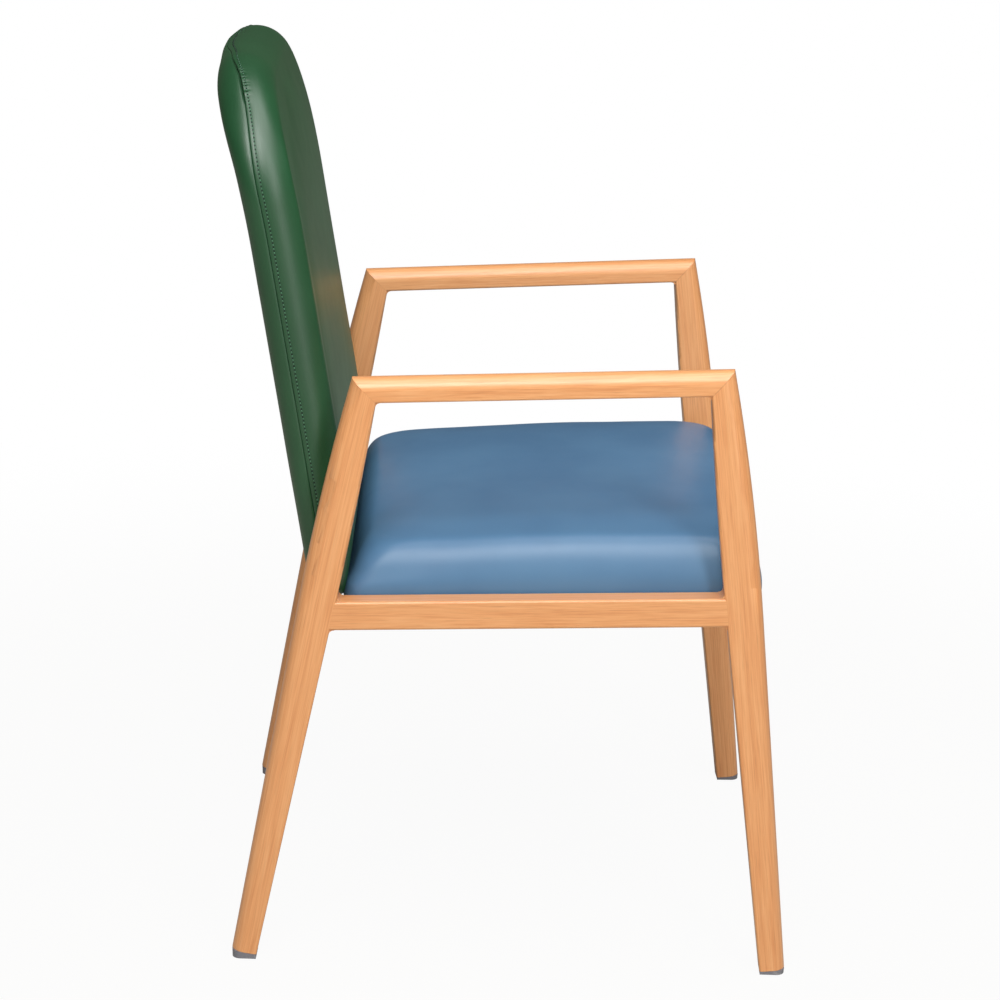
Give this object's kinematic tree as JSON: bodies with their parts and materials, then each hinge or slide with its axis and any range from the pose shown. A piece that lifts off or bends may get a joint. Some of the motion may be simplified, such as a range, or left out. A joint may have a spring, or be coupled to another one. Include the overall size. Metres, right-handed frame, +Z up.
{
  "type": "armchair",
  "caption": "Clinic armchair with welded wood-grain aluminium side frames, a padded blue vinyl seat and a tall, leaning, padded green vinyl back with a bent top.",
  "frame": {"origin": "on the floor, under the middle of the chair's outer box", "axes": "+Z up; the sitter looks along -Y, so -Y is the front; +X is the sitter's left"},
  "size_m": [0.581, 0.6218, 0.9502],
  "materials": {
    "frame": "satin wood-grain transfer on aluminium",
    "glide": "matte",
    "seat_vinyl": "semi-gloss vinyl",
    "back_vinyl": "semi-gloss vinyl",
    "plywood": "raw",
    "foam": "open-cell foam",
    "lining": "woven",
    "upright": "black powder coat",
    "fastener": "zinc-plated"
  },
  "bodies": {
    "root": {"right_front_leg": "frame", "right_rear_leg": "frame", "right_armrest": "frame", "right_side_rail": "frame", "right_frame_welds": "frame", "right_front_glide": "glide", "right_rear_glide": "glide", "left_front_leg": "frame", "left_rear_leg": "frame", "left_armrest": "frame", "left_side_rail": "frame", "left_frame_welds": "frame", "left_front_glide": "glide", "left_rear_glide": "glide", "front_cross_rail": "frame", "rear_cross_rail": "frame", "right_front_corner_plate": "frame", "right_rear_corner_plate": "frame", "left_front_corner_plate": "frame", "left_rear_corner_plate": "frame", "seat_board": "plywood", "seat_foam": "foam", "seat_cover": "seat_vinyl", "seat_lining": "lining", "seat_tee_nuts": "fastener", "seat_screws": "fastener", "back_right_upright": "upright", "back_left_upright": "upright", "back_lower_bar": "upright", "back_middle_bar": "upright", "back_upper_bar": "upright", "back_board": "plywood", "back_front_foam": "foam", "back_rear_foam": "foam", "back_front_cover": "back_vinyl", "back_rear_cover": "back_vinyl", "back_tee_nuts": "fastener", "back_screws": "fastener"}
  },
  "joints": []
}
